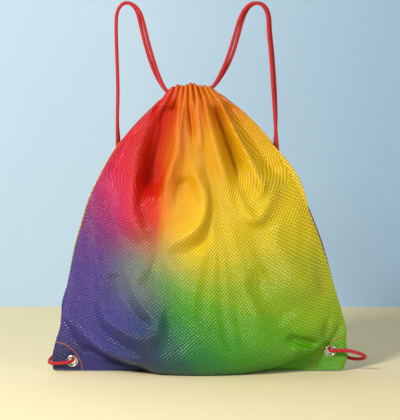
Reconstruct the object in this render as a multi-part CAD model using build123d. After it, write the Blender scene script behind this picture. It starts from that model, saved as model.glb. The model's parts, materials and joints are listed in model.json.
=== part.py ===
"""A drawstring sack standing open-side up, lightly filled: millimetres, +Z up, front facing -Y.

The origin is on the surface it stands on, under the middle of the sack. Two printed cloth panels are
sewn at the sides and the bottom. Two cords run through the hem of the gathered mouth, stand up as two
loops, pass down behind the sack and end in the eyelets of the bottom corners.
"""
from build123d import *
import math
import os

# ---- driving dimensions -------------------------------------------------------------------------
CLOTH = 2.0             # wall of the cloth shells
GATHER_CLOTH = 1.5      # wall of the shells where they are gathered
CORNER_CLOTH = 1.0      # each layer of cloth in the flat corners
PATCH = 1.2             # reinforcing patch between the corner's two layers
SEAM_ALLOWANCE = 10.0   # cloth turned inside along the seams
SEAM_THICKNESS = 1.2    # the two turned-in edges together
HEM_HEIGHT = 22.0       # hem folded over at the mouth
SLOT = (30.0, 10.0)     # what is left open of the gathered mouth, width and depth
TOP = 331.0             # height of the gathered mouth
GATHER_SHIFT = -10.0    # how far the mouth leans to the left
SHIFT_START = 240.0     # height where that lean begins

CORD = 4.0              # diameter of the cords
TUNNEL_CLEARANCE = 0.4  # room round a cord in the hem
KNOT = 10.0             # diameter of the knots
TAIL = 9.0              # length of cord left beyond a knot
THREAD = 0.8            # diameter of the sewing thread

EYELET_OUTER = 13.5     # flange of an eyelet
EYELET_HOLE = 9.0       # clear hole of an eyelet
EYELET_WALL = 0.6       # wall of the barrel and thickness of the flange
EYELET_CLEARANCE = 0.1  # hole in the cloth against the barrel
CORNER_EDGE = 170.0     # half the width across the two flat corners
LEFT_EYELET = (23.0 - CORNER_EDGE, 12.0)
RIGHT_EYELET = (CORNER_EDGE - 19.0, 24.0)
LEFT_ARC = (-CORNER_EDGE, 0.0, 34.5)    # centre and radius of the sewn arc of each corner patch
RIGHT_ARC = (CORNER_EDGE, 2.0, 38.0)
PATCH_MARGIN = 2.0      # patch beyond its sewn arc

# height, half width and half depth of the filled sack
SECTIONS = [
    (0, 128, 32), (12, 134, 43), (30, 142, 51), (48, 155, 56), (70, 162.5, 58), (110, 152, 60),
    (150, 140, 57), (200, 126, 48), (240, 107, 36), (TOP - 56, 79, 25), (TOP - 31, 53, 18.5),
    (TOP - 14, 35, 16), (TOP, 27, 16),
]

# outline of a flat corner, from the bottom seam outwards and up the side seam
CORNER_OUTLINE = [
    (122, 0), (CORNER_EDGE - 2, 0), (CORNER_EDGE, 4), (CORNER_EDGE, 16), (CORNER_EDGE - 1.5, 36),
    (CORNER_EDGE - 4, 55), (CORNER_EDGE - 8, 72), (150, 72), (138, 40),
]

# ---- routes of the two cords, from the knot of each corner to its other end at the same knot ------
LEFT_ROUTE = [
    (-160, 10, 22), (-152, 15, 34), (-141, 24, 58), (-128, 27.5, 98), (-116, 29, 145), (-104, 25, 196),
    (-94.5, 12, 248), (-94.8, 8, 286), (-93.4, 7.5, 325), (-94.8, 6, 368), (-95.5, 5, 398),
    (-94.5, 4, 414), (-88, 3, 423.5), (-77.5, 2, 424), (-68, 1, 415), (-63.6, 0.5, 401),
    (-58.4, 0, 379), (-51.4, -0.5, 355), (-44.4, -2, 335), (-35.5, -4.8, 319.5), (-24, -9.8, 319),
    (-9, -11.4, 318.8), (4, -9.6, 319), (9.5, -4.6, 319), (9.5, 4.6, 319), (4, 9.6, 319),
    (-9, 11.4, 318.8), (-24, 9.8, 319), (-35.5, 4.8, 319.5), (-47.6, 3, 336), (-56.2, 2.5, 356),
    (-63.2, 2.5, 380), (-68.2, 3.5, 402), (-71.5, 6, 415.5), (-79, 7.5, 424.5), (-88.5, 8.5, 424),
    (-95, 9.5, 414), (-96, 10.5, 398), (-95.3, 11.5, 368), (-93.9, 12.5, 325), (-95.3, 13.5, 286),
    (-91, 17, 246), (-95, 29, 196), (-107, 35, 145), (-119, 34, 98), (-131, 30, 58), (-141, 20, 33),
    (-146.5, 10, 14.5), (-147.2, -5.5, 11.6), (-160, -6.2, 10.2), (-172.5, -4.5, 9.5),
    (-174.8, 3.5, 12), (-168, 8.5, 18), (-160, 10, 22),
]
RIGHT_ROUTE = [
    (160, 10, 33), (153.5, 15, 45), (141, 24, 66), (128, 27.5, 102), (116, 29, 147), (103, 25, 196),
    (91, 13.5, 244), (87.4, 8, 284), (84.6, 7.5, 322), (82, 6, 362), (78.5, 5, 394), (78.5, 4, 410),
    (73, 3, 421.5), (63, 2, 425), (52.8, 1, 419.5), (45.6, 0.5, 406), (40, 0, 387), (32.5, -0.5, 362),
    (23.8, -2, 342), (14.5, -4.8, 326), (4, -9.8, 325.5), (-10, -11.4, 325.3), (-24, -9.6, 325.5),
    (-29.5, -4.6, 325.5), (-29.5, 4.6, 325.5), (-24, 9.6, 325.5), (-10, 11.4, 325.3), (4, 9.8, 325.5),
    (14.5, 4.8, 326), (27, 3, 342), (37.5, 2.5, 362), (44.6, 2.5, 387), (49.6, 3.5, 405.5),
    (55.5, 6, 418.5), (64.5, 7.5, 425), (75, 8.5, 422), (80.5, 9.5, 410.5), (81, 10.5, 394),
    (84.6, 11.5, 362), (87.4, 12.5, 322), (88.6, 13.5, 284), (86, 19, 243), (94, 30, 196),
    (107, 35, 147), (119, 34, 102), (131, 30, 66), (144, 20, 45), (150.3, 10, 27), (151, -5, 23.8),
    (161, -8, 25.6), (172.5, -10.5, 25.4), (183, -10, 22.8), (191.5, -7, 19), (191, -0.5, 15),
    (182, 4.5, 13), (171, 9, 14.5), (163, 12, 22), (160, 10, 33),
]
LOOP_TRIM = 7.0         # room at each end of a loop, where it bends away from the still cord
STILL_TRIM = 3.0        # the same room on the still side, where the cord leaves the hem
END_ROOM = 0.95         # share of a stretch's first and last run that its bends may use

# first and last route point of each stretch; a stretch ends halfway along the run beyond them
LEFT_STRETCHES = [
    ("left_back_strand_outer", 0, 6), ("left_loop_front_strand", 7, 18),
    ("left_cord_channel_run", 19, 28), ("left_loop_rear_strand", 29, 40),
    ("left_back_strand_inner", 41, 46), ("left_corner_cord", 47, 53),
]
RIGHT_STRETCHES = [
    ("right_back_strand_outer", 0, 6), ("right_loop_front_strand", 7, 18),
    ("right_cord_channel_run", 19, 28), ("right_loop_rear_strand", 29, 40),
    ("right_back_strand_inner", 41, 46), ("right_corner_cord", 47, 57),
]


# ---- cloth shells -------------------------------------------------------------------------------
def lean(z):
    """Sideways shift of the sack's middle at a height."""
    return GATHER_SHIFT * max(0.0, z - SHIFT_START) / (TOP - SHIFT_START)


def wall(z):
    """Wall of the cloth shell at a height."""
    return GATHER_CLOTH if z > TOP - 2 * HEM_HEIGHT else CLOTH


def half_lens(z, width, depth, side):
    """One panel's half of the section: an arc closed along the seam line; side is -1 in front."""
    middle = lean(z)
    arc = ThreePointArc((middle - width, 0, z), (middle, side * depth, z), (middle + width, 0, z))
    seam = Line((middle + width, 0, z), (middle - width, 0, z))
    return make_face(Wire([arc, seam]))


def half_body(side, inset=0.0, low=0.0, high=TOP):
    """Loft of one half of the sack, its surface inset by a number of wall thicknesses."""
    faces = []
    for z, width, depth in SECTIONS:
        height = min(max(z, low), TOP) if z < TOP else high
        edge = inset * wall(z)
        faces.append(half_lens(height, width - 1.5 * edge, depth - edge, side))
    return loft(faces)


def corner_plate(mirror, y_low, y_high):
    """One layer of a flat corner, between two depths; mirror is -1 on the left."""
    outline = make_face(Polyline(*[(mirror * x, 0, z) for x, z in CORNER_OUTLINE], close=True))
    plate = extrude(outline, amount=y_high - y_low, dir=(0, 1, 0))
    return Pos(0, y_low, 0) * plate


def along_y(radius, centre, y_low, y_high):
    """A cylinder along Y between two depths."""
    middle = (y_low + y_high) / 2
    return Pos(centre[0], middle, centre[1]) * Rot(90, 0, 0) * Cylinder(radius, y_high - y_low)


def slab(low, high):
    """A box between two corners."""
    size = [b - a for a, b in zip(low, high)]
    middle = [(a + b) / 2 for a, b in zip(low, high)]
    return Pos(*middle) * Box(*size)


# ---- cords --------------------------------------------------------------------------------------
def bend_radii(points, room=0.45):
    """The largest radius that the two runs at each inner point leave room for."""
    radii = []
    for before, at, after in zip(points, points[1:], points[2:]):
        shorter = min((at - before).length, (after - at).length)
        turn = math.radians((at - before).get_angle(after - at))
        radii.append(room * shorter / math.tan(turn / 2))
    return radii


def vectors(route):
    """The points of a route."""
    return [Vector(*place) for place in route]


def stretch_path(route, first, last, trim=0.0):
    """Path of one stretch of a route, ending halfway along the runs beyond its first and last point."""
    points = vectors(route)
    inner = points[max(first, 1):min(last, len(points) - 2) + 1]
    start = points[0] if first == 0 else (points[first - 1] + points[first]) / 2
    end = points[-1] if last == len(points) - 1 else (points[last] + points[last + 1]) / 2
    start = start + (inner[0] - start).normalized() * trim
    end = end + (inner[-1] - end).normalized() * trim
    corners = [start, *inner, end]
    whole = bend_radii(points)[max(first, 1) - 1:min(last, len(points) - 2)]
    radii = [min(pair) for pair in zip(whole, bend_radii(corners, END_ROOM))]
    return FilletPolyline(*corners, radius=radii)


def tube(path, diameter):
    """A round tube along a path."""
    return sweep(Plane(origin=path @ 0, z_dir=path % 0) * Circle(diameter / 2), path=path)


def cord_stretches(route, stretches):
    """The tube of each stretch of a cord, by name."""
    tubes = {}
    for name, first, last in stretches:
        trim = LOOP_TRIM if "_loop_" in name else STILL_TRIM if "_channel_" in name else 0.0
        path = stretch_path(route, first, last, trim)
        tubes[name] = tube(path, CORD)
        expected = math.pi * CORD ** 2 / 4 * path.length
        print(f"{name}: length {path.length:.1f}, volume over section x length "
              f"{tubes[name].volume / expected:.4f}")
    return tubes


def tails(centre, mirror):
    """The two short cord ends that stand out of a knot; mirror is -1 on the left."""
    ends = []
    for direction in (Vector(0.35 * mirror, 0.9, 0.2), Vector(-0.1 * mirror, 0.75, -0.6)):
        direction = direction.normalized()
        base = Plane(origin=Vector(*centre), z_dir=direction)
        ends.append(extrude(base * Circle(CORD / 2), amount=KNOT / 2 + TAIL))
    return ends


# ---- eyelets and thread ----------------------------------------------------------------------------
def eyelet(centre):
    """Flange in front of the corner, with the barrel that goes through it."""
    front = -(PATCH / 2 + CORNER_CLOTH)
    back = -front + EYELET_WALL
    flange = along_y(EYELET_OUTER / 2, centre, front - EYELET_WALL, front)
    barrel = along_y(EYELET_HOLE / 2 + EYELET_WALL, centre, front - EYELET_WALL, back)
    hole = along_y(EYELET_HOLE / 2, centre, front - 2 * EYELET_WALL, back + EYELET_WALL)
    return flange + barrel - hole


def washer(centre):
    """Ring that the barrel is rolled over, behind the corner."""
    back = PATCH / 2 + CORNER_CLOTH
    ring = along_y(EYELET_OUTER / 2, centre, back, back + EYELET_WALL)
    return ring - along_y(EYELET_HOLE / 2 + EYELET_WALL + EYELET_CLEARANCE, centre, back - 1, back + 2)


def corner_thread(arc, mirror):
    """The sewn arc of a corner patch, as one line of thread on each face of the corner."""
    centre_x, centre_z, radius = arc
    depth = PATCH / 2 + CORNER_CLOTH + THREAD / 2
    lowest = math.asin((THREAD - centre_z) / radius)
    highest = math.radians(86)
    lines = []
    for y in (-depth, depth):
        ends = []
        for angle in (lowest, (lowest + highest) / 2, highest):
            x = centre_x - mirror * radius * math.cos(angle)
            ends.append((x, y, centre_z + radius * math.sin(angle)))
        lines.append(tube(ThreePointArc(*ends), THREAD))
    return lines


def hem_thread(side, shell):
    """The line of stitches under the hem, on the face of one panel."""
    z = TOP - HEM_HEIGHT
    section_above = next(s for s in SECTIONS if s[0] > z)
    section_below = [s for s in SECTIONS if s[0] < z][-1]
    share = (z - section_below[0]) / (section_above[0] - section_below[0])
    width = section_below[1] + share * (section_above[1] - section_below[1])
    depth = section_below[2] + share * (section_above[2] - section_below[2])
    middle = lean(z)
    reach = width - 4
    rise = depth * (1 - (reach / width) ** 2)
    ends = [(middle - reach, side * (rise + THREAD), z), (middle, side * (depth + THREAD), z),
            (middle + reach, side * (rise + THREAD), z)]
    return tube(ThreePointArc(*ends), THREAD) - shell


# ---- the pieces -------------------------------------------------------------------------------------
nodes = {}
left_cord = cord_stretches(LEFT_ROUTE, LEFT_STRETCHES)
right_cord = cord_stretches(RIGHT_ROUTE, RIGHT_STRETCHES)
tunnels = [
    tube(stretch_path(route, 18, 29), CORD + 2 * TUNNEL_CLEARANCE)
    for route in (LEFT_ROUTE, RIGHT_ROUTE)
]
eyelet_holes = [
    along_y(EYELET_HOLE / 2 + EYELET_WALL + EYELET_CLEARANCE, centre, -20, 20)
    for centre in (LEFT_EYELET, RIGHT_EYELET)
]
layer = (PATCH / 2, PATCH / 2 + CORNER_CLOTH)
cavities = {}
for name, side in (("front", -1), ("back", 1)):
    cavities[side] = half_body(side, inset=1.0, low=CLOTH, high=TOP + 1)
    span = (-layer[1], -layer[0]) if side < 0 else layer
    shell = half_body(side) - cavities[side]
    for mirror in (-1, 1):
        shell += corner_plate(mirror, *span) - cavities[side]
    for cut in tunnels + eyelet_holes:
        shell -= cut
    nodes[name + "_panel"] = shell

    hem_box = slab((-60, min(0, side * 30), TOP - HEM_HEIGHT), (40, max(0, side * 30), TOP))
    slot = slab((GATHER_SHIFT - SLOT[0] / 2, -SLOT[1] / 2, TOP - 2 * HEM_HEIGHT),
                (GATHER_SHIFT + SLOT[0] / 2, SLOT[1] / 2, TOP + 5))
    channel = (hem_box & cavities[side]) - slot
    for cut in tunnels:
        channel -= cut
    nodes[name + "_cord_channel"] = channel
    nodes[name + "_channel_stitching"] = hem_thread(side, nodes[name + "_panel"])

inside = cavities[-1] + cavities[1]
seam_slab = slab((-200, -SEAM_THICKNESS / 2, 0), (200, SEAM_THICKNESS / 2, TOP - HEM_HEIGHT))
seam_core = Part()
for side in (-1, 1):
    seam_core += loft([
        half_lens(z, width - 1.5 * wall(z) - SEAM_ALLOWANCE, 5, side) for z, width, _ in SECTIONS
    ])
seam_sheet = (seam_slab & inside) - seam_core
seam_start = CLOTH + SEAM_ALLOWANCE
nodes["left_side_seam"] = seam_sheet & slab((-200, -5, seam_start), (GATHER_SHIFT, 5, TOP))
nodes["right_side_seam"] = seam_sheet & slab((GATHER_SHIFT, -5, seam_start), (200, 5, TOP))
nodes["bottom_seam"] = (seam_slab & inside) & slab((-200, -5, 0), (200, 5, seam_start))

for name, mirror, centre, arc, hole, route, cord in (
    ("left", -1, LEFT_EYELET, LEFT_ARC, eyelet_holes[0], LEFT_ROUTE, left_cord),
    ("right", 1, RIGHT_EYELET, RIGHT_ARC, eyelet_holes[1], RIGHT_ROUTE, right_cord),
):
    patch = corner_plate(mirror, -layer[0], layer[0])
    patch &= along_y(arc[2] + PATCH_MARGIN, arc[:2], -layer[0], layer[0])
    nodes[name + "_corner_patch"] = patch - half_body(-1) - half_body(1) - hole
    nodes[name + "_eyelet"] = eyelet(centre)
    nodes[name + "_eyelet_washer"] = washer(centre)
    nodes[name + "_corner_stitching"] = corner_thread(arc, mirror)
    knot = Pos(*route[0]) * Sphere(KNOT / 2)
    for stretch, solid in cord.items():
        tied = "corner" in stretch or "outer" in stretch
        nodes[stretch] = solid - knot if tied else solid
    nodes[name + "_knot"] = knot
    nodes[name + "_cord_tails"] = [end - knot for end in tails(route[0], mirror)]

# ---- report and export --------------------------------------------------------------------------------
for label, route in (("left", LEFT_ROUTE), ("right", RIGHT_ROUTE)):
    radii = bend_radii(vectors(route))
    print(label, "bend radii:", ", ".join(f"{i + 1}:{r:.0f}" for i, r in enumerate(radii)))

os.makedirs("parts", exist_ok=True)
for name, shape in nodes.items():
    solids = shape if isinstance(shape, list) else [shape]
    whole = Compound(children=[s for item in solids for s in item.solids()])
    export_step(whole, f"parts/{name}.step")
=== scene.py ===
"""A rainbow drawstring sack, lightly filled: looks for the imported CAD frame, in metres."""
import json
import math

import bpy
import numpy as np
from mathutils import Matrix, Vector


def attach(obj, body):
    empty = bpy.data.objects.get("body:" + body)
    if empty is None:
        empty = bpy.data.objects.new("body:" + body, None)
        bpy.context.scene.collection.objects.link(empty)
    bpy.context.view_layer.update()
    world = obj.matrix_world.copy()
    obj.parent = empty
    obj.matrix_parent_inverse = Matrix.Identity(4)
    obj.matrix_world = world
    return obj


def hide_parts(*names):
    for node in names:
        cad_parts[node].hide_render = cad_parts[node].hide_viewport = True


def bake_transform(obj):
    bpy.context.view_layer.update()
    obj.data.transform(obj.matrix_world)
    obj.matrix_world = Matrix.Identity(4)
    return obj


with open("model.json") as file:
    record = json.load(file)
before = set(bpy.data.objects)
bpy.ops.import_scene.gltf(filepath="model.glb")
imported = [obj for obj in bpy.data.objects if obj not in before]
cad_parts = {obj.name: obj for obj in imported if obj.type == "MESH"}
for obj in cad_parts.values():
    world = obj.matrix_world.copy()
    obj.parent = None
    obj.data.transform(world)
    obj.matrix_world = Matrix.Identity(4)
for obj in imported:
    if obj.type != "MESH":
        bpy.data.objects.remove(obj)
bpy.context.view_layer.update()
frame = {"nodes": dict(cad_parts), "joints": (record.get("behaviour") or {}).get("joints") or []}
bpy.ops.object.select_all(action="DESELECT")

# ---- sizes of the cloth ---------------------------------------------------------------------------
FLAT_WIDTH = 0.340          # each panel as cut, seam to seam
FLAT_HEIGHT = 0.372         # from the bottom seam to the top of the hem
HEM = 0.020                 # hem folded over at the mouth
ACROSS, UP = 104, 112       # cells of a panel's grid
CLOTH = 0.0005              # thickness of the cloth
RUFFLES = 10                # ruffles of each panel in the gathered mouth
MOUTH_LEFT = (-0.0365, 0.326)      # ends of the gathered mouth, as (x, z)
MOUTH_RIGHT = (0.0165, 0.327)
CORNER_GAP = 0.0012         # a panel's distance from the seam plane in the flat corners
FLOOR_GAP = 0.0006          # least height of the cloth's grid over the floor
SETTLE_FRAMES = 14          # frames of cloth simulation
SETTLED = 0.5               # how much of the settling is kept
PRESSURE = 2.0              # of the filling on the cloth while it settles

# ---- sizes of the hem and its stitches ------------------------------------------------------------
HEM_ROWS = 7                # rows of the panel's grid above the hem's stitches
HEM_PROFILE = [             # the cloth turned in: how far down, how much of the way to its full depth
    (-0.0004, 0.35), (0.0012, 0.75), (0.0035, 1.0), (0.008, 1.0), (0.014, 1.0), (0.021, 1.0),
]
HEM_DEPTH = 0.0050          # the folded-in cloth from the middle of the mouth, clear of the cords
HEM_SHARE = 0.40            # the same where the mouth is narrow, as a share of its depth
HEM_INSIDE = 0.0006         # from the panel's top edge in to where the fold starts
HEM_OVER = 0.0002           # and up over it
HEM_LEAST = 0.0007          # least distance of the fold from the seam plane
HEM_ENDS = (-0.0265, 0.0060)    # where the cords turn in or out of the hem
STITCH = 0.0033             # length of a stitch
STITCH_STEP = 1.3           # least run from one to the next, in stitches
STITCH_OUT = 0.0005         # its middle's distance from the middle of the cloth
THREAD = 0.0008

# ---- sizes of the corners -------------------------------------------------------------------------
EYELETS = {"left": (-0.147, 0.012), "right": (0.151, 0.024)}            # centres, as (x, z)
CORNER_ARCS = {"left": ((-0.170, 0.0), 0.0345), "right": ((0.170, 0.002), 0.038)}   # centre, radius
ARC_STITCHES = 16           # stitches in a corner's arc
ARC_OUT = 0.0006            # their middle's distance from the middle of the cloth
ARC_LOWEST = 0.0008         # height of its lower end
ARC_END = math.radians(86)  # turn up from level at its upper end
EYELET_GRIP = 0.0125        # how far round an eyelet the corner is held flat
EYELET_REACH = 0.0105       # how far round an eyelet the cloth's grid is moved
HOLE_CORNER = 0.0066        # corners of the face left out, which smooths to a round hole
RING_RADIUS = 0.0056        # middle of an eyelet's ring
RING_WIRE = 0.00125         # half its width
RING_FLAT = 0.72            # its thickness as a share of its width
RING_FACE = 0.0016          # its distance from the seam plane
BARREL_RADIUS = 0.0050
BARREL_LENGTH = 0.0034
BARREL_WALL = 0.0005
PATCH_SIDES = 64
PATCH_INSET = 0.0012        # patch short of the seams
PATCH_PAST_ARC = 0.002      # patch past its stitches
PATCH_HOLE = 0.75           # the hole in the patch, as a share of the cloth's
PATCH_LIMIT = 0.08          # the patch's edge is looked for this far from the eyelet
PATCH_STEP = 0.0005         # in steps of this
PATCH_CLOTH = 0.0008        # thickness of the patch

# ---- sizes of the cords ---------------------------------------------------------------------------
CORD = 0.004
CORD_SIDES = 12             # sides of a cord's tube
KNOT = 0.0052               # reach of a knot from its centre
KNOT_CORD = 0.92            # the cord is squeezed to this share in a knot
END_CORD = 0.96             # and to this share in its short ends
END_LENGTH = 0.0135
END_STEPS = 8
END_SAG = 0.0008
END_ROUND = 0.0012          # length over which an end is rounded off

LEFT_ROUTE = [
    (-0.16, 0.01, 0.022), (-0.152, 0.015, 0.034), (-0.141, 0.024, 0.058), (-0.128, 0.0275, 0.098),
    (-0.116, 0.029, 0.145), (-0.104, 0.025, 0.196), (-0.0945, 0.012, 0.248), (-0.0948, 0.008, 0.286),
    (-0.0934, 0.0075, 0.325), (-0.0948, 0.006, 0.368), (-0.0955, 0.005, 0.398), (-0.0945, 0.004, 0.414),
    (-0.088, 0.003, 0.4235), (-0.0775, 0.002, 0.424), (-0.068, 0.001, 0.415), (-0.0636, 0.0005, 0.401),
    (-0.0584, 0, 0.379), (-0.0514, -0.0005, 0.355), (-0.0444, -0.002, 0.335),
    (-0.0355, -0.0048, 0.3195), (-0.024, -0.0098, 0.319), (-0.009, -0.0114, 0.3188),
    (0.004, -0.0096, 0.319), (0.0095, -0.0046, 0.319), (0.0095, 0.0046, 0.319), (0.004, 0.0096, 0.319),
    (-0.009, 0.0114, 0.3188), (-0.024, 0.0098, 0.319), (-0.0355, 0.0048, 0.3195),
    (-0.0476, 0.003, 0.336), (-0.0562, 0.0025, 0.356), (-0.0632, 0.0025, 0.38),
    (-0.0682, 0.0035, 0.402), (-0.0715, 0.006, 0.4155), (-0.079, 0.0075, 0.4245),
    (-0.0885, 0.0085, 0.424), (-0.095, 0.0095, 0.414), (-0.096, 0.0105, 0.398),
    (-0.0953, 0.0115, 0.368), (-0.0939, 0.0125, 0.325), (-0.0953, 0.0135, 0.286),
    (-0.091, 0.017, 0.246), (-0.095, 0.029, 0.196), (-0.107, 0.035, 0.145), (-0.119, 0.034, 0.098),
    (-0.131, 0.03, 0.058), (-0.141, 0.02, 0.033), (-0.1465, 0.01, 0.0145), (-0.1472, -0.0055, 0.0116),
    (-0.16, -0.0062, 0.0102), (-0.1725, -0.0045, 0.0095), (-0.1748, 0.0035, 0.012),
    (-0.168, 0.0085, 0.018), (-0.16, 0.01, 0.022),
]
RIGHT_ROUTE = [
    (0.16, 0.01, 0.033), (0.1535, 0.015, 0.045), (0.141, 0.024, 0.066), (0.128, 0.0275, 0.102),
    (0.116, 0.029, 0.147), (0.103, 0.025, 0.196), (0.091, 0.0135, 0.244), (0.0874, 0.008, 0.284),
    (0.0846, 0.0075, 0.322), (0.082, 0.006, 0.362), (0.0785, 0.005, 0.394), (0.0785, 0.004, 0.41),
    (0.073, 0.003, 0.4215), (0.063, 0.002, 0.425), (0.0528, 0.001, 0.4195), (0.0456, 0.0005, 0.406),
    (0.04, 0, 0.387), (0.0325, -0.0005, 0.362), (0.0238, -0.002, 0.342), (0.0145, -0.0048, 0.326),
    (0.004, -0.0098, 0.3255), (-0.01, -0.0114, 0.3253), (-0.024, -0.0096, 0.3255),
    (-0.0295, -0.0046, 0.3255), (-0.0295, 0.0046, 0.3255), (-0.024, 0.0096, 0.3255),
    (-0.01, 0.0114, 0.3253), (0.004, 0.0098, 0.3255), (0.0145, 0.0048, 0.326), (0.027, 0.003, 0.342),
    (0.0375, 0.0025, 0.362), (0.0446, 0.0025, 0.387), (0.0496, 0.0035, 0.4055), (0.0555, 0.006, 0.4185),
    (0.0645, 0.0075, 0.425), (0.075, 0.0085, 0.422), (0.0805, 0.0095, 0.4105), (0.081, 0.0105, 0.394),
    (0.0846, 0.0115, 0.362), (0.0874, 0.0125, 0.322), (0.0886, 0.0135, 0.284), (0.086, 0.019, 0.243),
    (0.094, 0.03, 0.196), (0.107, 0.035, 0.147), (0.119, 0.034, 0.102), (0.131, 0.03, 0.066),
    (0.144, 0.02, 0.045), (0.1503, 0.01, 0.027), (0.151, -0.005, 0.0238), (0.161, -0.008, 0.0256),
    (0.1725, -0.0105, 0.0254), (0.183, -0.01, 0.0228), (0.1915, -0.007, 0.019), (0.191, -0.0005, 0.015),
    (0.182, 0.0045, 0.013), (0.171, 0.009, 0.0145), (0.163, 0.012, 0.022), (0.16, 0.01, 0.033),
]


# ---- helpers ----------------------------------------------------------------------------------------
def make_mesh(name, points, faces, maps=None):
    """A mesh object from points and faces, with UV maps given as one (u, v) per point."""
    mesh = bpy.data.meshes.new(name)
    mesh.from_pydata([tuple(p) for p in points], [], faces)
    for map_name, places in (maps or {}).items():
        layer = mesh.uv_layers.new(name=map_name)
        corners = np.empty(len(mesh.loops), dtype=int)
        mesh.loops.foreach_get("vertex_index", corners)
        layer.data.foreach_set("uv", np.asarray(places, dtype=float)[corners].ravel())
    mesh.validate()
    obj = bpy.data.objects.new(name, mesh)
    bpy.context.scene.collection.objects.link(obj)
    return obj


def activate(obj):
    """Makes one object the only selected one and the active one."""
    bpy.ops.object.select_all(action="DESELECT")
    obj.select_set(True)
    bpy.context.view_layer.objects.active = obj


def finish_shape(obj, modifiers=(), angle=40):
    """Applies modifiers given as (type, settings) and shades the piece smooth."""
    activate(obj)
    bpy.ops.object.mode_set(mode="EDIT")
    bpy.ops.mesh.select_all(action="SELECT")
    bpy.ops.mesh.delete_loose()
    bpy.ops.object.mode_set(mode="OBJECT")
    for kind, settings in modifiers:
        modifier = obj.modifiers.new(kind.title(), kind)
        for key, value in settings.items():
            setattr(modifier, key, value)
        bpy.ops.object.modifier_apply(modifier=modifier.name)
    bpy.ops.object.transform_apply(location=True, rotation=True, scale=True)
    bpy.ops.object.shade_smooth_by_angle(angle=math.radians(angle))


def join(name, objects):
    """Joins objects into one, named for the piece."""
    bpy.ops.object.select_all(action="DESELECT")
    for obj in objects:
        obj.select_set(True)
    bpy.context.view_layer.objects.active = objects[0]
    if len(objects) > 1:
        bpy.ops.object.join()
    objects[0].name = name
    objects[0].data.name = name
    return objects[0]


def spline_path(route):
    """Points along the NURBS spline of a route, as Blender evaluates it."""
    curve = bpy.data.curves.new("route", "CURVE")
    curve.dimensions = "3D"
    curve.resolution_u = 10
    spline = curve.splines.new("NURBS")
    spline.points.add(len(route) - 1)
    for point, place in zip(spline.points, route):
        point.co = (*place, 1.0)
    spline.order_u = 3
    spline.use_endpoint_u = True
    holder = bpy.data.objects.new("route", curve)
    bpy.context.scene.collection.objects.link(holder)
    line = bpy.data.meshes.new_from_object(holder)
    path = [v.co.copy() for v in line.vertices]
    bpy.data.objects.remove(holder)
    bpy.data.meshes.remove(line)
    return path


def tube(name, path, radius, sides=CORD_SIDES, ends=0.0):
    """A closed round tube along a path; ends rounds its two ends over that length."""
    points, places, faces = [], [], []
    tangent = (path[1] - path[0]).normalized()
    normal = tangent.orthogonal().normalized()
    length = 0.0
    total = sum((b - a).length for a, b in zip(path, path[1:]))
    for k, centre in enumerate(path):
        after = path[min(k + 1, len(path) - 1)]
        before = path[max(k - 1, 0)]
        tangent = (after - before).normalized()
        normal = (normal - tangent * normal.dot(tangent)).normalized()
        side = tangent.cross(normal)
        if k:
            length += (centre - before).length
        reach = min(length, total - length)
        size = radius
        if ends and reach < ends:
            size = radius * math.sqrt(max(0.03, 1 - (1 - reach / ends) ** 2))
        for j in range(sides + 1):
            turn = 2 * math.pi * j / sides
            points.append(centre + size * (math.cos(turn) * normal + math.sin(turn) * side))
            places.append((j / sides, length))
    ring = sides + 1
    for k in range(len(path) - 1):
        for j in range(sides):
            a = k * ring + j
            faces.append((a, a + 1, a + 1 + ring, a + ring))
    last = (len(path) - 1) * ring
    faces.append(tuple(range(sides))[::-1])
    faces.append(tuple(last + j for j in range(sides)))
    obj = make_mesh(name, points, faces, {"UVMap": places})
    activate(obj)
    bpy.ops.object.mode_set(mode="EDIT")
    bpy.ops.mesh.select_all(action="SELECT")
    bpy.ops.mesh.remove_doubles(threshold=1e-7)
    bpy.ops.mesh.normals_make_consistent(inside=False)
    bpy.ops.object.mode_set(mode="OBJECT")
    bpy.ops.object.shade_smooth_by_angle(angle=math.radians(60))
    return obj


# ---- cords, knots and their ends ----------------------------------------------------------------------
def knot_path(centre, size):
    """A tight overhand knot round a centre."""
    path = []
    for k in range(49):
        t = 2 * math.pi * (k + 0.5) / 50
        path.append(Vector((
            centre[0] + size * (math.sin(t) + 2 * math.sin(2 * t)) / 3,
            centre[1] - 0.8 * size * math.sin(3 * t) / 2,
            centre[2] + size * (math.cos(t) - 2 * math.cos(2 * t)) / 3)))
    return path


def make_cord(side, route, joint, material):
    """One cord from knot to knot, with the knot and the two short ends beyond it."""
    mirror = -1 if side == "left" else 1
    path = spline_path(route)
    cord = tube(side + "_cord", path, CORD / 2)
    start = Vector(route[0])
    knot = tube(side + "_cord_knot", knot_path(start, KNOT), CORD / 2 * KNOT_CORD)
    ends = []
    for k, way in enumerate(((0.35 * mirror, 0.9, 0.2), (-0.1 * mirror, 0.75, -0.6))):
        way = Vector(way).normalized()
        line = [start + way * END_LENGTH * s / END_STEPS + Vector((0, 0, -END_SAG * (s / END_STEPS) ** 2))
                for s in range(END_STEPS + 1)]
        ends.append(tube(f"end_{k}", line, CORD / 2 * END_CORD, ends=END_ROUND))
    tails = join(side + "_cord_ends", ends)
    # a line that rises square to the hinge, in the plane of the loop, is worked out here but not used
    upward = np.cross(joint["axis"], (0, 1, 0))
    upward /= np.linalg.norm(upward)
    if upward[2] < 0:
        upward = -upward
    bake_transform(cord)
    nodes = [f"{side}_{n}" for n in (
        "cord_channel_run", "back_strand_outer", "back_strand_inner", "corner_cord",
        "loop_front_strand", "loop_rear_strand")]
    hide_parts(*nodes)
    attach(knot, "bag")
    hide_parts(side + "_knot")
    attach(tails, "bag")
    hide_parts(side + "_cord_tails")
    for piece in (cord, knot, tails):
        piece.data.materials.append(material)


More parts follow.
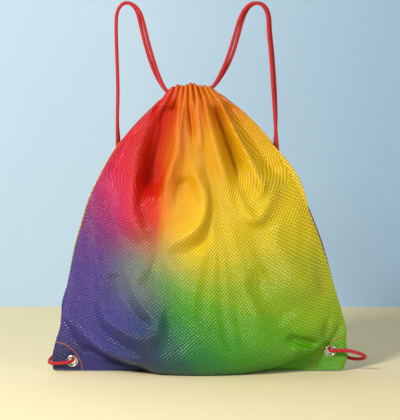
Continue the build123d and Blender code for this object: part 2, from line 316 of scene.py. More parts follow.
# ---- the shape of the sack --------------------------------------------------------------------------
# the side seams from the bottom corners up to the gathered mouth, as (x, z)
LEFT_SEAM = [
    (-0.1695, 0.0015), (-0.1705, 0.016), (-0.166, 0.036), (-0.161, 0.052), (-0.159, 0.070),
    (-0.152, 0.1035), (-0.1435, 0.142), (-0.138, 0.162), (-0.127, 0.198), (-0.117, 0.220),
    (-0.105, 0.243), (-0.096, 0.258), (-0.083, 0.275), (-0.066, 0.2935), (-0.047, 0.3125), MOUTH_LEFT,
]
RIGHT_SEAM = [
    (0.166, 0.0015), (0.171, 0.018), (0.1695, 0.036), (0.170, 0.048), (0.167, 0.060),
    (0.160, 0.084), (0.151, 0.114), (0.1425, 0.142), (0.128, 0.181), (0.113, 0.214),
    (0.102, 0.234), (0.091, 0.252), (0.0755, 0.2745), (0.052, 0.2985), (0.030, 0.316), MOUTH_RIGHT,
]
# the front panel's middle line from the bottom seam up, as (y, z)
MIDDLE = [
    (0, 0.0008), (-0.012, 0.0006), (-0.026, 0.0008), (-0.036, 0.0035), (-0.046, 0.014), (-0.0535, 0.034),
    (-0.0580, 0.070), (-0.0590, 0.110), (-0.0555, 0.150), (-0.0470, 0.200), (-0.0370, 0.240),
    (-0.0285, 0.275), (-0.0215, 0.300), (-0.0175, 0.317), (-0.0165, 0.331),
]
# half width of the filled belly by height; outside it the corners are flat
BELLY = [(0, 0.124), (0.012, 0.131), (0.030, 0.140), (0.048, 0.153), (0.072, 0.168), (0.40, 0.20)]


def along(points, shares):
    """Points at shares of a line's length, the line rounded through its points."""
    points = np.array(points, dtype=float)
    ends = np.vstack([2 * points[0] - points[1], points, 2 * points[-1] - points[-2]])
    fine = []
    for a, b, c, d in zip(ends, ends[1:], ends[2:], ends[3:]):
        for t in np.linspace(0, 1, 12, endpoint=False):
            fine.append(0.5 * (2 * b + (c - a) * t + (2 * a - 5 * b + 4 * c - d) * t ** 2
                               + (3 * b - a - 3 * c + d) * t ** 3))
    fine = np.array(fine + [points[-1]])
    steps = np.concatenate([[0], np.cumsum(np.linalg.norm(np.diff(fine, axis=0), axis=1))])
    shares = np.asarray(shares) * steps[-1]
    return np.stack([np.interp(shares, steps, fine[:, k]) for k in range(points.shape[1])], axis=-1)


def smooth(t):
    """0 below 0, 1 above 1, and an even rise between them."""
    t = np.clip(t, 0, 1)
    return t * t * (3 - 2 * t)


TOP = 0.331                 # top of the gathered mouth
MOUTH_FROM = 0.296          # where the flat sides start to close into the round mouth
GATHER_FROM = 0.262         # where the ruffles start
MOUTH_FOLD = 0.295          # a fold that starts above this runs into the mouth
FOLDS_UNTIL = 0.317         # where the folds have faded out, under the hem
RUFFLE_DEPTH = 0.0028
BACK_LIP = 0.0014           # how far the back shows past the front at the sides
FOLD_GAIN = 1.35            # all folds higher by this
# folds as (x, z) lines from the mouth down: half width on the left and right side, height out of the cloth
FRONT_FOLDS = [
    ([(-0.026, 0.320), (-0.0315, 0.288), (-0.033, 0.265), (-0.0375, 0.251), (-0.0475, 0.229),
      (-0.051, 0.208), (-0.0545, 0.193)], 0.021, 0.0045, -0.027),
    ([(-0.057, 0.300), (-0.067, 0.278), (-0.0765, 0.243), (-0.080, 0.208), (-0.0765, 0.182),
      (-0.063, 0.159), (-0.046, 0.150)], 0.013, 0.009, 0.013),
    ([(-0.0215, 0.320), (-0.0255, 0.288), (-0.0255, 0.264), (-0.030, 0.251), (-0.040, 0.228),
      (-0.042, 0.206)], 0.0035, 0.013, 0.010),
    ([(-0.018, 0.256), (-0.0075, 0.237), (0.004, 0.220), (0.0085, 0.203), (0.004, 0.183),
      (-0.010, 0.167), (-0.033, 0.153), (-0.046, 0.150)], 0.009, 0.009, 0.009),
    ([(-0.018, 0.230), (-0.021, 0.190)], 0.014, 0.014, -0.006),
    ([(0.004, 0.318), (0.012, 0.291), (0.021, 0.262), (0.032, 0.234), (0.043, 0.210)], 0.009, 0.006, 0.009),
    ([(0.016, 0.312), (0.0265, 0.285), (0.036, 0.262), (0.0445, 0.239), (0.0495, 0.222),
      (0.052, 0.210)], 0.006, 0.010, -0.015),
    ([(0.024, 0.312), (0.043, 0.279), (0.059, 0.254), (0.072, 0.231), (0.0765, 0.216),
      (0.068, 0.203), (0.055, 0.206)], 0.007, 0.006, 0.011),
    ([(0.030, 0.311), (0.052, 0.282), (0.072, 0.256), (0.0865, 0.232), (0.090, 0.212)], 0.006, 0.008, -0.010),
    ([(0.079, 0.238), (0.0865, 0.213), (0.081, 0.194), (0.0695, 0.183), (0.0545, 0.188),
      (0.044, 0.199)], 0.009, 0.009, 0.008),
    ([(0.018, 0.323), (0.046, 0.298), (0.074, 0.270), (0.090, 0.247)], 0.004, 0.005, -0.005),
    ([(-0.036, 0.320), (-0.063, 0.289), (-0.090, 0.256), (-0.111, 0.222),
      (-0.119, 0.196)], 0.005, 0.008, -0.007),
    ([(-0.011, 0.320), (-0.0098, 0.291), (-0.006, 0.266)], 0.006, 0.006, -0.008),
    ([(0.001, 0.320), (0.0045, 0.297)], 0.004, 0.004, -0.006),
    ([(-0.004, 0.319), (-0.001, 0.286), (0.005, 0.254)], 0.007, 0.007, 0.006),
    ([(-0.049, 0.147), (-0.066, 0.126), (-0.077, 0.107), (-0.060, 0.084), (-0.048, 0.067),
      (-0.061, 0.049), (-0.106, 0.065), (-0.132, 0.102)], 0.011, 0.011, 0.008),
    ([(-0.098, 0.120), (-0.092, 0.090)], 0.014, 0.014, -0.004),
    ([(-0.040, 0.138), (-0.020, 0.146), (0.004, 0.156), (0.020, 0.172)], 0.011, 0.011, -0.006),
    ([(0.074, 0.176), (0.106, 0.136), (0.131, 0.103), (0.146, 0.079)], 0.016, 0.014, 0.006),
    ([(0.058, 0.120), (0.088, 0.080), (0.110, 0.052)], 0.020, 0.018, -0.005),
    ([(0.098, 0.046), (0.120, 0.038), (0.140, 0.030)], 0.005, 0.006, -0.007),
    ([(0.104, 0.032), (0.124, 0.029), (0.140, 0.026)], 0.005, 0.004, 0.005),
    ([(0.100, 0.010), (0.120, 0.014), (0.142, 0.020)], 0.005, 0.005, -0.006),
    ([(0.150, 0.066), (0.146, 0.050), (0.149, 0.036)], 0.005, 0.005, -0.004),
    ([(-0.140, 0.030), (-0.118, 0.018), (-0.082, 0.010), (-0.045, 0.005)], 0.006, 0.007, -0.012),
    ([(-0.128, 0.036), (-0.100, 0.024), (-0.060, 0.016)], 0.008, 0.008, 0.005),
]
BACK_FOLDS = [
    ([(-0.022, 0.324), (-0.030, 0.290), (-0.048, 0.250), (-0.060, 0.205)], 0.012, 0.008, -0.018),
    ([(0.008, 0.322), (0.018, 0.286), (0.036, 0.240), (0.044, 0.196)], 0.008, 0.012, -0.018),
    ([(-0.010, 0.326), (-0.012, 0.285), (-0.006, 0.236)], 0.010, 0.010, 0.009),
    ([(-0.036, 0.318), (-0.066, 0.276), (-0.090, 0.232), (-0.096, 0.190)], 0.009, 0.009, 0.005),
    ([(0.016, 0.322), (0.050, 0.286), (0.080, 0.240), (0.090, 0.192)], 0.009, 0.009, 0.005),
    ([(-0.060, 0.205), (-0.030, 0.176), (0.012, 0.172), (0.044, 0.196)], 0.014, 0.014, 0.007),
    ([(-0.120, 0.070), (-0.080, 0.058), (-0.030, 0.066)], 0.012, 0.012, 0.005),
    ([(0.040, 0.070), (0.090, 0.060), (0.124, 0.078)], 0.012, 0.012, 0.005),
    ([(-0.080, 0.150), (-0.040, 0.120), (0.030, 0.110), (0.080, 0.140)], 0.016, 0.016, -0.004),
]


def fold_height(x, z, folds):
    """How far the folds lift the cloth at places on the panel."""
    height = np.zeros_like(x)
    for line, left_half, right_half, lift in folds:
        line = along(line, np.linspace(0, 1, 5 * len(line)))
        steps = np.concatenate([[0], np.cumsum(np.linalg.norm(np.diff(line, axis=0), axis=1))])
        nearest = np.full_like(x, 9.0)
        share = np.zeros_like(x)
        to_right = np.zeros_like(x)
        for k in range(len(line) - 1):
            run = line[k + 1] - line[k]
            dx, dz = x - line[k][0], z - line[k][1]
            t = np.clip((dx * run[0] + dz * run[1]) / (run @ run), 0, 1)
            away = np.hypot(dx - t * run[0], dz - t * run[1])
            closer = away < nearest
            nearest = np.where(closer, away, nearest)
            share = np.where(closer, (steps[k] + t * (steps[k + 1] - steps[k])) / steps[-1], share)
            to_right = np.where(closer, run[0] * dz - run[1] * dx, to_right)
        half = np.where(to_right > 0, right_half, left_half)
        starts_high = line[0][1] > MOUTH_FOLD
        fade = smooth((1 - share) / 0.3)
        if not starts_high:
            fade = fade * smooth(share / 0.25 + 0.1)
        narrow = 0.40 + 0.60 * np.clip((TOP - z) / 0.07, 0, 1)
        height += FOLD_GAIN * lift * fade * np.exp(-(nearest / (half * narrow)) ** 2) * narrow
    return height


def off_seam(u):
    """0 on the side seams, and 1 from a little way in."""
    return np.clip(60 * (1 - np.abs(u)), 0, 1)


def panel_shape(side, folds):
    """Grid points of a panel: (rows, columns, 3), its print places and its flat places."""
    v = np.linspace(0, 1, UP + 1)
    u = np.linspace(-1, 1, ACROSS + 1)
    left, right = along(LEFT_SEAM, v), along(RIGHT_SEAM, v)
    middle = along(MIDDLE, v)
    uu, vv = np.meshgrid(u, v)
    if side == "back":
        lip = BACK_LIP * smooth((left[:, 1] - 0.10) / 0.05) * smooth((0.28 - left[:, 1]) / 0.05)
        left, right = left - lip[:, None] * (1, 0), right + lip[:, None] * (1, 0)
    share = (uu + 1) / 2
    x = left[:, None, 0] * (1 - share) + right[:, None, 0] * share
    seam_z = left[:, None, 1] * (1 - share) + right[:, None, 1] * share
    rise = (1 - uu ** 2)
    z = seam_z * (1 - rise) + middle[:, None, 1] * rise
    # the filled belly, round in plan and tighter towards the mouth
    half = np.interp(seam_z, *np.array(BELLY).T)
    mid_x = (left[:, None, 0] + right[:, None, 0]) / 2
    half = np.minimum(half, (right[:, None, 0] - left[:, None, 0]) / 2)
    mouth = smooth((seam_z - MOUTH_FROM) / 0.018)
    belly = np.clip(1 - ((x - mid_x) / half) ** 2, 0, 1) ** (0.85 - 0.50 * mouth)
    y = middle[:, None, 0] * belly
    print_x, print_z = x.copy(), z.copy()
    # the uneven ruffles of the gather
    gather = smooth((z - GATHER_FROM) / 0.062)
    phase = math.pi * RUFFLES * (uu + 1)
    wobble = 0.8 * np.sin(3.1 * uu + 0.4) + 0.5 * np.sin(7.3 * uu + 1.9)
    wave = 2 * np.abs(np.cos((phase + wobble) / 2)) ** 0.8 - 1
    deep = 1 + 0.35 * np.sin(5.7 * uu + 0.6)
    y = y - gather * RUFFLE_DEPTH * deep * wave * np.clip(1.2 - uu ** 2, 0.3, 1)
    y = y - fold_height(x, z, folds) * np.clip(4 * belly, 0, 1) * smooth((FOLDS_UNTIL - z) / 0.02)
    y = np.minimum(y, -CORNER_GAP * off_seam(uu))
    # the uneven top of the hem
    crown = smooth((vv - (1 - HEM / FLAT_HEIGHT)) / (HEM / FLAT_HEIGHT))
    z = z + crown * (0.0012 * wave + 0.0014 * np.sin(9.0 * uu + 1.1) * (1 - uu ** 2) - 0.0008)
    points = np.stack([x, y * (1 if side == "front" else -1), z], axis=-1)
    return points, np.stack([print_x, print_z], axis=-1), uu, vv


def rest_shape(points, uu, vv):
    """The flat cut that the cloth springs back to, as wide as the filled shape needs."""
    rows = np.linalg.norm(np.diff(points[:, ::4], axis=1), axis=2).sum(axis=1)
    slack = 0.985 + 0.065 * smooth((vv[:, 0] - 0.45) / 0.4)
    half = np.minimum(FLAT_WIDTH / 2, rows / 2 * slack)
    flat = np.zeros_like(points)
    flat[..., 0] = uu * half[:, None]
    flat[..., 2] = vv * FLAT_HEIGHT
    return flat


def settle(obj, flat, held, frames, pressure):
    """Lets a panel settle as cloth from its rest shape, holding some of its points."""
    activate(obj)
    obj.shape_key_add(name="Basis")
    key = obj.shape_key_add(name="cut")
    key.data.foreach_set("co", flat.reshape(-1))
    key.value = 0
    group = obj.vertex_groups.new(name="held")
    for index, weight in enumerate(held.ravel()):
        if weight > 0:
            group.add([index], float(weight), "REPLACE")
    modifier = obj.modifiers.new("Cloth", "CLOTH")
    cloth = modifier.settings
    cloth.quality = 6
    cloth.mass = 0.12
    cloth.air_damping = 3.0
    cloth.tension_stiffness = 25
    cloth.compression_stiffness = 22
    cloth.shear_stiffness = 6
    cloth.bending_stiffness = 2.5
    cloth.tension_damping = 8
    cloth.compression_damping = 8
    cloth.shear_damping = 8
    cloth.bending_damping = 1.0
    cloth.vertex_group_mass = "held"
    cloth.pin_stiffness = 1
    cloth.rest_shape_key = key
    cloth.use_pressure = True
    cloth.uniform_pressure_force = pressure
    cloth.effector_weights.gravity = 0.35
    modifier.collision_settings.use_collision = False
    modifier.collision_settings.use_self_collision = False
    scene = bpy.context.scene
    modifier.point_cache.frame_start = 1
    modifier.point_cache.frame_end = frames
    for number in range(1, frames + 1):
        scene.frame_set(number)
    shaped = obj.evaluated_get(bpy.context.evaluated_depsgraph_get())
    out = np.empty(len(obj.data.vertices) * 3)
    shaped.data.vertices.foreach_get("co", out)
    obj.modifiers.remove(modifier)
    obj.shape_key_clear()
    obj.vertex_groups.clear()
    scene.frame_set(1)
    return out.reshape(-1, 3)


# ---- materials ----------------------------------------------------------------------------------------
class Value:
    """A number socket of a node tree, with the operators of ordinary arithmetic."""

    def __init__(self, tree, socket):
        self.tree, self.socket = tree, socket

    def math(self, operation, *others):
        node = self.tree.nodes.new("ShaderNodeMath")
        node.operation = operation
        for index, item in enumerate((self, *others)):
            if isinstance(item, Value):
                self.tree.links.new(item.socket, node.inputs[index])
            else:
                node.inputs[index].default_value = float(item)
        return Value(self.tree, node.outputs[0])

    def __add__(self, other):
        return self.math("ADD", other)

    def __mul__(self, other):
        return self.math("MULTIPLY", other)

    def __sub__(self, other):
        return self.math("SUBTRACT", other)

    def __truediv__(self, other):
        return self.math("DIVIDE", other)

    def __rsub__(self, other):
        return (self * -1) + other

    __radd__ = __add__
    __rmul__ = __mul__


class Finish:
    """A material's node tree: one method makes and links any node."""

    def __init__(self, name):
        self.material = bpy.data.materials.new(name)
        self.material.use_nodes = True
        self.tree = self.material.node_tree
        self.shader = self.tree.nodes["Principled BSDF"]

    def node(self, kind, settings=None, **inputs):
        made = self.tree.nodes.new("ShaderNode" + kind)
        for key, value in (settings or {}).items():
            if key == "stops":
                ramp = made.color_ramp
                while len(ramp.elements) < len(value):
                    ramp.elements.new(0.5)
                for element, (place, colour) in zip(ramp.elements, value):
                    element.position = place
                    element.color = colour
            else:
                setattr(made, key, value)
        for key, value in inputs.items():
            socket = made.inputs[int(key[1:])] if key[0] == "i" and key[1:].isdigit() else made.inputs[key]
            self.feed(socket, value)
        return made

    def feed(self, socket, value):
        if isinstance(value, Value):
            self.tree.links.new(value.socket, socket)
        elif isinstance(value, bpy.types.NodeSocket):
            self.tree.links.new(value, socket)
        else:
            socket.default_value = value

    def uv(self, name):
        """The two coordinates of a UV map."""
        parts = self.node("SeparateXYZ", Vector=self.node("UVMap", {"uv_map": name}).outputs[0])
        return Value(self.tree, parts.outputs[0]), Value(self.tree, parts.outputs[1])

    def xyz(self):
        """The three coordinates of a place on the piece."""
        parts = self.node("SeparateXYZ", Vector=self.place())
        return [Value(self.tree, out) for out in parts.outputs]

    def place(self):
        return self.node("TexCoord").outputs["Object"]

    def noise(self, vector, scale, detail=2.0):
        made = self.node("TexNoise", None, Vector=vector, Scale=scale, Detail=detail)
        return Value(self.tree, made.outputs[0])

    def mix(self, factor, first, second):
        """A blend of two colours."""
        made = self.node("Mix", {"data_type": "RGBA"}, i0=factor, i6=first, i7=second)
        return made.outputs[2]

    def bump(self, height, distance, strength=1.0):
        made = self.node("Bump", None, Height=height, Distance=distance, Strength=strength)
        self.feed(self.shader.inputs["Normal"], made.outputs[0])

    def set(self, **values):
        for key, value in values.items():
            self.feed(self.shader.inputs[key.replace("_", " ")], value)


def colour(text, alpha=1.0):
    """A linear colour from six hexadecimal digits."""
    parts = [int(text[k:k + 2], 16) / 255 for k in (0, 2, 4)]
    return (*[p / 12.92 if p <= 0.04045 else ((p + 0.055) / 1.055) ** 2.4 for p in parts], alpha)


PRINT_MIDDLE = (-0.057, 0.124)      # where the colours of the print meet
PRINT_BLUR = 0.068                  # how far round it they mix
CELL = (0.0048, 0.0041)             # width and height of the raised cells of the weave
# turn clockwise from straight up, as a share of a whole turn, and the colour there
PRINT = [
    (0.000, "e01804"), (0.015, "ea3004"), (0.036, "f68406"), (0.070, "fbb408"), (0.125, "fccc0c"),
    (0.170, "f2d002"), (0.215, "e0cc00"), (0.255, "bcc400"), (0.292, "96be00"), (0.335, "62b000"),
    (0.378, "3c9e10"), (0.418, "1e8a3c"), (0.458, "14605a"), (0.500, "22406c"), (0.545, "303880"),
    (0.600, "3a368e"), (0.660, "40308a"), (0.740, "4a2e8e"), (0.800, "5e2a88"), (0.850, "7e2478"),
    (0.890, "a41e70"), (0.925, "d01c60"), (0.958, "e01e40"), (0.980, "e01610"), (1.000, "e01804"),
]


def printed_cloth(name, mirror, on_panel=True):
    """Glossy woven polyester: a conic rainbow print over raised diamond cells."""
    made = Finish(name)
    if on_panel:
        px, pz = made.uv("print")
        wu, wv = made.uv("weave")
    else:
        px, _, pz = made.xyz()
        wu, wv = px, pz
    px = px * mirror - PRINT_MIDDLE[0]
    # higher up, places far to the right take the colours of places nearer the middle
    high = ((pz - 0.210) / 0.090).math("MAXIMUM", 0.0).math("MINIMUM", 1.0)
    px = px - (px - 0.036).math("MAXIMUM", 0.0) * high * 0.7
    pz = pz - PRINT_MIDDLE[1]
    # the turn about the middle picks the colour, with uneven borders between colours
    soft = made.noise(made.place(), 9.0, 1.0) - 0.5
    turn = px.math("ARCTAN2", pz) / (2 * math.pi) + soft * 0.05
    turn = (turn + 1.0).math("FRACT")
    ramp = made.node("ValToRGB", {"stops": [(p, colour(c)) for p, c in PRINT]}, Fac=turn)
    ramp.color_ramp.interpolation = "EASE"
    # the colours dull together round the middle, and the lower left corner is darker, partly its navy print
    # and partly painted shade
    away = (px * px + pz * pz).math("SQRT")
    near = (1.0 - away / PRINT_BLUR).math("MAXIMUM", 0.0)
    near = near * near * (3.0 - near * 2.0)
    plain = made.mix(near * 0.85, ramp.outputs[0], colour("7f9468"))
    # painted shade, mixed with the corner's navy print, darkens the lower left flat corner
    aside = ((px * -1.0 - 0.070) / 0.022).math("MAXIMUM", 0.0).math("MINIMUM", 1.0)
    low = ((pz * -1.0 - 0.078) / 0.022).math("MAXIMUM", 0.0).math("MINIMUM", 1.0)
    plain = made.mix(aside * low * 0.75, plain, colour("162450"))
    # raised diamond cells, with painted shade darkening the gaps between them
    lattice = (wu * (2 * math.pi / CELL[0])).math("COSINE") * (wv * (2 * math.pi / CELL[1])).math("COSINE")
    raised = lattice * 0.5 + 0.5
    shade = made.mix((1.0 - raised) * 0.55, plain, colour("180c10"))
    made.set(Base_Color=shade, Roughness=0.33 - raised * 0.13, Specular_IOR_Level=0.5)
    made.bump(raised, 0.0011, 1.0)
    return made.material


def plain_cloth(name, tint):
    """The unprinted inside of the same cloth."""
    made = Finish(name)
    place = made.place()
    wave = made.node("TexWave", {"bands_direction": "DIAGONAL"}, Vector=place, Scale=220.0, Distortion=0.4)
    height = Value(made.tree, wave.outputs[1])
    made.set(Base_Color=made.mix(height * 0.3, colour(tint), colour("5c3a20")), Roughness=0.7 - height * 0.1)
    made.bump(height, 0.0003, 0.6)
    return made.material


def braided_cord():
    """Red braided cord: two sets of strands wound opposite ways, with painted shade darkening the gaps
    between the strands.
    """
    made = Finish("red_cord_finish")
    around, along_cord = made.uv("UVMap")
    pitch = 0.0075
    a = (around * 4.0 + along_cord / pitch * 4.0) * (2 * math.pi)
    b = (around * 4.0 - along_cord / pitch * 4.0) * (2 * math.pi)
    braid = (a.math("SINE").math("MAXIMUM", b.math("SINE"))) * 0.5 + 0.5
    fuzz = made.noise(made.place(), 900.0, 2.0)
    # painted shade: the gaps between strands are darker red, with a little random fibre tone
    tint = made.mix(braid * 0.8 + fuzz * 0.2, colour("84000c"), colour("cc0418"))
    made.set(Base_Color=tint, Roughness=0.62 - braid * 0.12, Sheen_Weight=0.1, Sheen_Roughness=0.4)
    made.bump(braid + fuzz * 0.25, 0.0005, 0.8)
    return made.material


def nickel():
    """Nickel plate, lightly rubbed."""
    made = Finish("nickel_finish")
    rub = made.noise(made.place(), 420.0, 4.0)
    made.set(Base_Color=made.mix(rub, colour("d9d4c8"), colour("b4aea2")), Metallic=1.0,
             Roughness=rub * 0.22 + 0.14)
    made.bump(rub, 0.0001, 0.4)
    return made.material


def sewing_thread():
    """Orange twisted thread, with painted shade darkening the grooves of its twist."""
    made = Finish("orange_thread_finish")
    twist = made.node("TexWave", {"bands_direction": "DIAGONAL"}, Vector=made.place(), Scale=900.0)
    height = Value(made.tree, twist.outputs[1])
    # painted shade: the grooves of the twist are darker orange
    made.set(Base_Color=made.mix(height, colour("c8540a"), colour("f5902a")), Roughness=0.6 - height * 0.1)
    made.bump(height, 0.0002, 0.6)
    return made.material


# ---- the panels ---------------------------------------------------------------------------------------
def in_corner(x, z):
    """True where a corner is held flat by its eyelet and its patch."""
    near = [np.hypot(x - centre[0], z - centre[1]) < EYELET_GRIP for centre in EYELETS.values()]
    return near[0] | near[1]


def cord_gap(u, z):
    """True at the ends of the hem, where the seam is left open for the cords."""
    return u < -0.940 and 0.3120 < z < 0.3260 or u > 0.945 and 0.3185 < z < 0.3310


def open_eyelet(points, centre):
    """Moves the grid out round an eyelet; gives the row and column of the face to leave out."""
    flat = points[..., (0, 2)]
    middles = (flat[:-1, :-1] + flat[1:, :-1] + flat[:-1, 1:] + flat[1:, 1:]) / 4
    row, column = np.unravel_index(
        np.argmin(np.linalg.norm(middles - centre, axis=-1)), middles.shape[:2])
    away = flat - centre
    far = np.maximum(np.linalg.norm(away, axis=-1), 1e-6)
    moved = np.where(far < EYELET_REACH, HOLE_CORNER + far * (1 - HOLE_CORNER / EYELET_REACH), far)
    flat = centre + away * (moved / far)[..., None]
    side = HOLE_CORNER / math.sqrt(2)
    for r, c, x, z in ((0, 0, -side, -side), (0, 1, side, -side), (1, 1, side, side), (1, 0, -side, side)):
        flat[row + r, column + c] = (centre[0] + x, centre[1] + z)
    points[..., 0], points[..., 2] = flat[..., 0], np.maximum(flat[..., 1], FLOOR_GAP)
    return row, column


def make_panel(side, folds, material):
    """One printed panel from the bottom seam to the mouth, as settled cloth."""
    points, places, uu, vv = panel_shape(side, folds)
    rows, columns = uu.shape
    flat = rest_shape(points, uu, vv)
    holes = [open_eyelet(points, centre) for centre in EYELETS.values()]
    faces = []
    for r in range(rows - 1):
        for c in range(columns - 1):
            if (r, c) in holes or cord_gap((uu[r, c] + uu[r, c + 1]) / 2, points[r, c, 2]):
                continue
            a = r * columns + c
            face = (a, a + 1, a + 1 + columns, a + columns)
            faces.append(face if side == "front" else face[::-1])
    mirror = 1 if side == "front" else -1
    maps = {"weave": flat[..., (0, 2)].reshape(-1, 2), "print": places.reshape(-1, 2)}
    panel = make_mesh(side + "_panel_cloth", points.reshape(-1, 3), faces, maps)
    held = np.zeros_like(uu)
    held[0] = held[:, 0] = held[:, -1] = 1
    held[vv > 1 - HEM / FLAT_HEIGHT * 0.95] = 1
    held[in_corner(points[..., 0], points[..., 2])] = 1
    out = settle(panel, flat, held, SETTLE_FRAMES, mirror * PRESSURE)
    out = points * (1 - SETTLED) + out.reshape(rows, columns, 3) * SETTLED
    out[..., 2] = np.maximum(out[..., 2], FLOOR_GAP)
    depth = out[..., 1] * -mirror
    out[..., 1] = -mirror * np.maximum(depth, CORNER_GAP * off_seam(uu))
    panel.data.vertices.foreach_set("co", out.reshape(-1))
    panel.data.update()
    points = out
    finish_shape(panel, [
        ("SUBSURF", {"levels": 1, "render_levels": 1}),
        ("SOLIDIFY", {"thickness": CLOTH, "offset": 0.0}),
    ], angle=80)
    panel.data.materials.append(material)
    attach(panel, "bag")
    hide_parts(side + "_panel")
    return points


def make_hem(side, panel_points, material):
    """The gathered hem folded in over the cords."""
    sign = -1 if side == "front" else 1
    rows = [panel_points[-1] + (0, -sign * HEM_INSIDE, HEM_OVER)]
    for drop, inward in HEM_PROFILE:
        row = rows[0].copy()
        full = np.abs(rows[0][:, 1])
        depth = full + (np.minimum(full * HEM_SHARE, HEM_DEPTH) - full) * inward
        row[:, 1] = sign * np.maximum(depth, HEM_LEAST)
        row[:, 2] -= drop
        rows.append(row)
    grid = np.array(rows)
    count = grid.shape[1]
    faces = []
    for r in range(len(rows) - 1):
        for c in range(count - 1):
            if not HEM_ENDS[0] < grid[r, c, 0] < HEM_ENDS[1]:
                continue
            a = r * count + c
            face = (a, a + 1, a + 1 + count, a + count)
            faces.append(face if side == "front" else face[::-1])
    flat = grid.reshape(-1, 3)[:, (0, 2)]
    hem = make_mesh(side + "_hem", grid.reshape(-1, 3), faces, {"weave": flat, "print": flat})
    finish_shape(hem, [
        ("SOLIDIFY", {"thickness": CLOTH, "offset": 0.0}),
    ], angle=80)
    hem.data.materials.append(material)
    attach(hem, "bag")
    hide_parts(side + "_cord_channel")


def stitch_row(name, places, turns, replaced):
    """A row of thread stitches as one piece: each a capsule at a place, turned about Y."""
    stitches = []
    for place, turn in zip(places, turns):
        bpy.ops.mesh.primitive_uv_sphere_add(segments=8, ring_count=6, radius=THREAD / 2, location=place)
        stitch = bpy.context.object
        activate(stitch)
        bpy.ops.object.mode_set(mode="EDIT")
        bpy.ops.mesh.select_all(action="SELECT")
        bpy.ops.transform.resize(value=(STITCH / THREAD, 0.8, 1.0))
        bpy.ops.transform.rotate(value=turn, orient_axis="Y", center_override=place)
        bpy.ops.object.mode_set(mode="OBJECT")
        stitches.append(stitch)
    row = join(name, stitches)
    finish_shape(row, angle=60)
    row.data.materials.append(thread_finish)
    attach(row, "bag")
    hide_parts(replaced)


def corner_stitches(side, centre, radius, mirror, cloths):
    """The sewn arc of a corner patch, lying on the cloth of both faces of the corner."""
    places, turns = [], []
    lowest = math.asin((ARC_LOWEST - centre[1]) / radius)
    for sign, cloth in zip((-1, 1), cloths):
        cloth = cloth.reshape(-1, 3)
        for k in range(ARC_STITCHES):
            angle = lowest + (ARC_END - lowest) * (k + 0.5) / ARC_STITCHES
            x = centre[0] - mirror * radius * math.cos(angle)
            z = centre[1] + radius * math.sin(angle)
            nearest = cloth[np.argmin(np.hypot(cloth[:, 0] - x, cloth[:, 2] - z))]
            places.append((x, nearest[1] + sign * ARC_OUT, z))
            turns.append((math.pi / 2 - angle) * mirror)
    stitch_row(side + "_corner_stitches", places, turns, side + "_corner_stitching")


def corner_patch(side, eyelet, centre, radius, mirror, material):
    """The patch between the corner's two layers: round the eyelet, out to its arc and the seams."""
    seam = np.array(LEFT_SEAM if mirror < 0 else RIGHT_SEAM)
    inner, outer = [], []
    for k in range(PATCH_SIDES):
        angle = 2 * math.pi * k / PATCH_SIDES
        way = np.array([math.cos(angle), math.sin(angle)])
        reach = HOLE_CORNER
        while reach < PATCH_LIMIT:
            x, z = np.array(eyelet) + way * (reach + PATCH_STEP)
            edge = abs(np.interp(z, seam[:, 1], seam[:, 0])) - PATCH_INSET
            if z < PATCH_INSET or mirror * x > edge or math.hypot(x - centre[0], z - centre[1]) > radius:
                break
            reach += PATCH_STEP
        for ring, distance in ((inner, HOLE_CORNER * PATCH_HOLE), (outer, max(reach, HOLE_CORNER))):
            ring.append((eyelet[0] + way[0] * distance, 0.0, eyelet[1] + way[1] * distance))
    faces = [(k, (k + 1) % PATCH_SIDES, PATCH_SIDES + (k + 1) % PATCH_SIDES, PATCH_SIDES + k)
             for k in range(PATCH_SIDES)]
    patch = make_mesh(side + "_corner_lining", inner + outer, faces)
    finish_shape(patch, [("SOLIDIFY", {"thickness": PATCH_CLOTH, "offset": 0.0})])
    patch.data.materials.append(material)
    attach(patch, "bag")
    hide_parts(side + "_corner_patch")


def make_eyelet(side, centre, behind):
    """A domed nickel ring; the front one has the barrel, the back one is the rolled washer."""
    place = (centre[0], RING_FACE if behind else -RING_FACE, centre[1])
    bpy.ops.mesh.primitive_torus_add(major_segments=56, minor_segments=14, major_radius=RING_RADIUS,
                                     minor_radius=RING_WIRE, location=place,
                                     rotation=(math.pi / 2, 0, 0))
    ring = bpy.context.object
    activate(ring)
    bpy.ops.object.mode_set(mode="EDIT")
    bpy.ops.mesh.select_all(action="SELECT")
    bpy.ops.transform.resize(value=(1.0, RING_FLAT, 1.0))
    bpy.ops.object.mode_set(mode="OBJECT")
    pieces = [ring]
    if not behind:
        bpy.ops.mesh.primitive_cylinder_add(vertices=56, radius=BARREL_RADIUS, depth=BARREL_LENGTH,
                                            end_fill_type="NOTHING",
                                            location=(centre[0], 0, centre[1]),
                                            rotation=(math.pi / 2, 0, 0))
        barrel = bpy.context.object
        finish_shape(barrel, [("SOLIDIFY", {"thickness": BARREL_WALL, "offset": -1.0})])
        pieces.append(barrel)
    name = side + ("_eyelet_back_ring" if behind else "_eyelet_ring")
    piece = join(name, pieces)
    finish_shape(piece, angle=50)
    piece.data.materials.append(metal_finish)
    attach(piece, "bag")
    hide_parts(side + ("_eyelet_washer" if behind else "_eyelet"))


def hem_stitches(side, panel_points):
    """The row of stitches under the hem, lying on the gathered cloth."""
    row = panel_points[-HEM_ROWS - 1]
    sign = -1 if side == "front" else 1
    places, turns = [], []
    for k in range(2, len(row) - 2):
        if places and row[k][0] - places[-1][0] < STITCH_STEP * STITCH:
            continue
        run = row[k + 1] - row[k - 1]
        places.append((row[k][0], row[k][1] + sign * STITCH_OUT, row[k][2]))
        turns.append(math.atan2(run[2], run[0]))
    stitch_row(side + "_hem_stitches", places, turns, side + "_channel_stitching")


front_cloth = printed_cloth("front_print_finish", 1.0)
back_cloth = printed_cloth("back_print_finish", -1.0)
seam_cloth = printed_cloth("seam_print_finish", 1.0, on_panel=False)
inside_cloth = plain_cloth("inside_cloth_finish", "c98a3a")
cord_finish = braided_cord()
metal_finish = nickel()
thread_finish = sewing_thread()

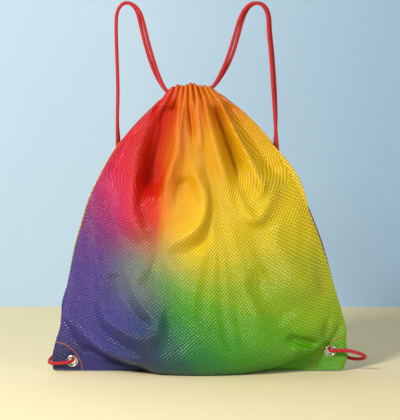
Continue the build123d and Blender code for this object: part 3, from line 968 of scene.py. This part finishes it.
joints = {j["name"]: j for j in frame["joints"]}
make_cord("left", LEFT_ROUTE, joints["left_loop_swing"], cord_finish)
make_cord("right", RIGHT_ROUTE, joints["right_loop_swing"], cord_finish)
cloths = []
for side, folds, cloth in (("front", FRONT_FOLDS, front_cloth), ("back", BACK_FOLDS, back_cloth)):
    points = make_panel(side, folds, cloth)
    cloths.append(points)
    make_hem(side, points, seam_cloth)
    hem_stitches(side, points)
for side, mirror in (("left", -1), ("right", 1)):
    arc, radius = CORNER_ARCS[side]
    corner_stitches(side, arc, radius, mirror, cloths)
    corner_patch(side, EYELETS[side], arc, radius + PATCH_PAST_ARC, mirror, inside_cloth)
    make_eyelet(side, EYELETS[side], behind=False)
    make_eyelet(side, EYELETS[side], behind=True)

for name, node in frame["nodes"].items():
    if "seam" in name:
        node.data.materials.clear()
        node.data.materials.append(seam_cloth)


# ---- the room -------------------------------------------------------------------------------------------
def stage_finish(name, tint, shaded_right_tint):
    made = Finish(name)
    # painted shade: the colour darkens towards the right, away from the lamps on the left
    x = made.xyz()[0] + 0.10
    made.set(Base_Color=made.mix((x / 0.45).math("MAXIMUM", 0.0).math("MINIMUM", 1.0),
                                 colour(tint), colour(shaded_right_tint)), Roughness=0.8)
    return made.material


bpy.ops.mesh.primitive_plane_add(size=1, location=(0, 0, 0))
floor = bpy.context.object
floor.name = "floor"
floor.scale = (6, 4.2, 1)
floor.location = (0, -1.52, 0)
bpy.ops.object.transform_apply(location=True, rotation=True, scale=True)
floor.data.materials.append(stage_finish("floor_finish", "eedfb2", "ecd9a9"))
bpy.ops.mesh.primitive_plane_add(size=1, location=(0, 0, 0), rotation=(math.pi / 2, 0, 0))
wall = bpy.context.object
wall.name = "wall"
wall.scale = (6, 4, 1)
wall.location = (0, 0.58, 1.6)
bpy.ops.object.transform_apply(location=True, rotation=True, scale=True)
wall.data.materials.append(stage_finish("wall_finish", "b4cde2", "98b6d2"))


def area_light(name, place, target, size, power, tint=(1, 1, 1)):
    light = bpy.data.lights.new(name, "AREA")
    light.shape = "DISK"
    light.size = size
    light.energy = power
    light.color = tint
    holder = bpy.data.objects.new(name, light)
    holder.location = place
    holder.rotation_euler = (Vector(target) - Vector(place)).to_track_quat("-Z", "Y").to_euler()
    bpy.context.scene.collection.objects.link(holder)


area_light("key", (-0.85, -1.30, 1.10), (0, 0, 0.16), 0.34, 33, (1.0, 0.98, 0.95))
area_light("fill", (1.3, -1.1, 0.6), (0, 0, 0.15), 0.6, 8)
area_light("wall_light", (-1.3, 0.1, 1.0), (-0.4, 0.6, 0.3), 0.9, 5)
world = bpy.data.worlds.new("soft_room")
world.use_nodes = True
world.node_tree.nodes["Background"].inputs[0].default_value = (0.93, 0.96, 1.0, 1)
world.node_tree.nodes["Background"].inputs[1].default_value = 0.22
bpy.context.scene.world = world

bpy.context.scene.view_settings.view_transform = "Standard"

VIEW_WIDTH = 0.460          # what the frame shows across, at the sack
VIEW_DISTANCE = 1.9
VIEW_AIM = (0.0006, 0.0, 0.187)
VIEW_RISE = math.radians(4.0)
camera_data = bpy.data.cameras.new("camera")
camera_data.sensor_fit = "HORIZONTAL"
camera_data.sensor_width = 36.0
camera_data.lens = 36.0 * VIEW_DISTANCE / VIEW_WIDTH
camera = bpy.data.objects.new("camera", camera_data)
camera.location = (VIEW_AIM[0], -VIEW_DISTANCE * math.cos(VIEW_RISE),
                   VIEW_AIM[2] + VIEW_DISTANCE * math.sin(VIEW_RISE))
camera.rotation_euler = (math.pi / 2 - VIEW_RISE, 0, 0)
bpy.context.scene.collection.objects.link(camera)
bpy.context.scene.camera = camera
